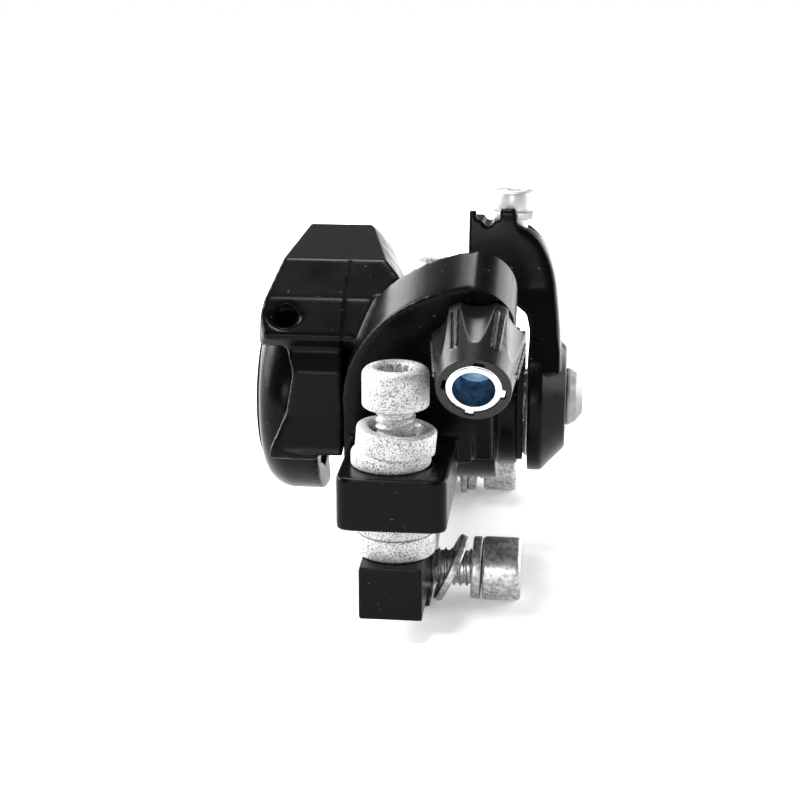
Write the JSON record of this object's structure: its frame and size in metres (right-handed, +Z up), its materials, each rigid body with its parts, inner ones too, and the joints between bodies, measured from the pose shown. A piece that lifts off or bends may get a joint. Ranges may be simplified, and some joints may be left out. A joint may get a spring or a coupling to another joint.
{
  "type": "mechanical disc brake caliper",
  "caption": "Cable-operated disc brake caliper on a frame bracket, with slotted ears on ball washers, a curved cable stop with a barrel adjuster, and a lever arm on a ball-and-ramp cam.",
  "frame": {"origin": "on the bracket's frame face, midway between the two frame bolt axes", "axes": "+X outboard along the frame bolts and the piston, +Y to the rear, +Z up and away from the wheel axle"},
  "size_m": [0.0534, 0.09, 0.0614],
  "materials": {
    "black_paint": "satin black paint",
    "bracket_paint": "glossy black paint",
    "zinc": "speckled light zinc coating",
    "bolt_steel": "mottled grey steel",
    "bright_steel": "ground steel",
    "ribbed_plastic": "semi-gloss black plastic",
    "dial_plastic": "satin black plastic",
    "cage_plastic": "matte",
    "silver_insert": "bright, faintly blue",
    "seal_rubber": "matte",
    "friction_compound": "rough sintered"
  },
  "bodies": {
    "caliper": {"adapter_bracket": "bracket_paint", "outboard_housing": "black_paint", "inboard_housing": "black_paint", "front_housing_bolt": "bright_steel", "rear_housing_bolt": "bright_steel", "front_mount_bolt": "zinc", "rear_mount_bolt": "zinc", "front_upper_cup_washer": "zinc", "rear_upper_cup_washer": "zinc", "front_upper_cone_washer": "zinc", "rear_upper_cone_washer": "zinc", "front_lower_cone_washer": "zinc", "rear_lower_cone_washer": "zinc", "front_lower_cup_washer": "zinc", "rear_lower_cup_washer": "zinc", "front_frame_bolt": "bolt_steel", "rear_frame_bolt": "bolt_steel", "front_thin_washer": "bolt_steel", "rear_thin_washer": "bolt_steel", "front_thick_washer": "bolt_steel", "rear_thick_washer": "bolt_steel", "return_spring": "bright_steel", "dust_seal": "seal_rubber", "thrust_bearing": "bright_steel", "pad_spring": "bright_steel"},
    "arm": {"actuating_arm": "black_paint", "arm_pivot_bolt": "bright_steel", "cable_clamp_plate": "bright_steel", "cable_clamp_bolt": "bright_steel", "drive_cam": "bright_steel"},
    "cage": {"ball_cage": "cage_plastic"},
    "balls": {"ramp_balls": "bright_steel"},
    "outer_pad": {"pressure_cam": "bright_steel", "pressure_foot": "bright_steel", "outboard_backing_plate": "bright_steel", "outboard_friction_block": "friction_compound"},
    "inner_pad": {"inboard_backing_plate": "bright_steel", "inboard_friction_block": "friction_compound", "adjuster_screw": "bright_steel"},
    "dial": {"adjuster_dial": "dial_plastic", "dial_clip": "bright_steel", "dial_o_ring": "seal_rubber"},
    "barrel": {"barrel_seal": "seal_rubber"},
    "barrel_turning": {"barrel_knob": "ribbed_plastic", "barrel_screw": "silver_insert"}
  },
  "joints": [
    {"name": "arm_turn", "type": "hinge", "parent": "caliper", "child": "arm", "pos_m": [0, 0, 0.021], "axis": [1, 0, 0], "range_deg": [0, 24], "stiffness_Nm_per_rad": 0.25, "springref_deg": -20.05, "deforming": ["return_spring"]},
    {"name": "cage_slide", "type": "slide", "parent": "caliper", "child": "cage", "axis": [-1, 0, 0], "range_m": [0, 0.00065]},
    {"name": "ball_turn", "type": "hinge", "parent": "cage", "child": "balls", "pos_m": [0, 0, 0.021], "axis": [1, 0, 0], "range_deg": [0, 12.1]},
    {"name": "foot_slide", "type": "slide", "parent": "caliper", "child": "outer_pad", "axis": [-1, 0, 0], "range_m": [0, 0.0013], "deforming": ["pad_spring"]},
    {"name": "dial_turn", "type": "hinge", "parent": "caliper", "child": "dial", "pos_m": [0, 0, 0.021], "axis": [1, 0, 0], "range_deg": [0, 360]},
    {"name": "inner_pad_slide", "type": "slide", "parent": "caliper", "child": "inner_pad", "axis": [1, 0, 0], "range_m": [0, 0.001]},
    {"name": "barrel_slide", "type": "slide", "parent": "caliper", "child": "barrel", "axis": [0, -0.9304, -0.3665], "range_m": [0, 0.002]},
    {"name": "barrel_turn", "type": "hinge", "parent": "barrel", "child": "barrel_turning", "pos_m": [0.0071, -0.043, 0.0344], "axis": [0, -0.9304, -0.3665], "range_deg": [0, 720]}
  ],
  "couplings": [
    {"joint": "cage_slide", "follows": "arm_turn", "m_per_rad": 0.0015502},
    {"joint": "ball_turn", "follows": "arm_turn", "ratio": 0.5},
    {"joint": "foot_slide", "follows": "arm_turn", "m_per_rad": 0.0031004},
    {"joint": "dial_turn", "follows": "inner_pad_slide", "rad_per_m": 6283},
    {"joint": "barrel_turn", "follows": "barrel_slide", "rad_per_m": 6283}
  ]
}
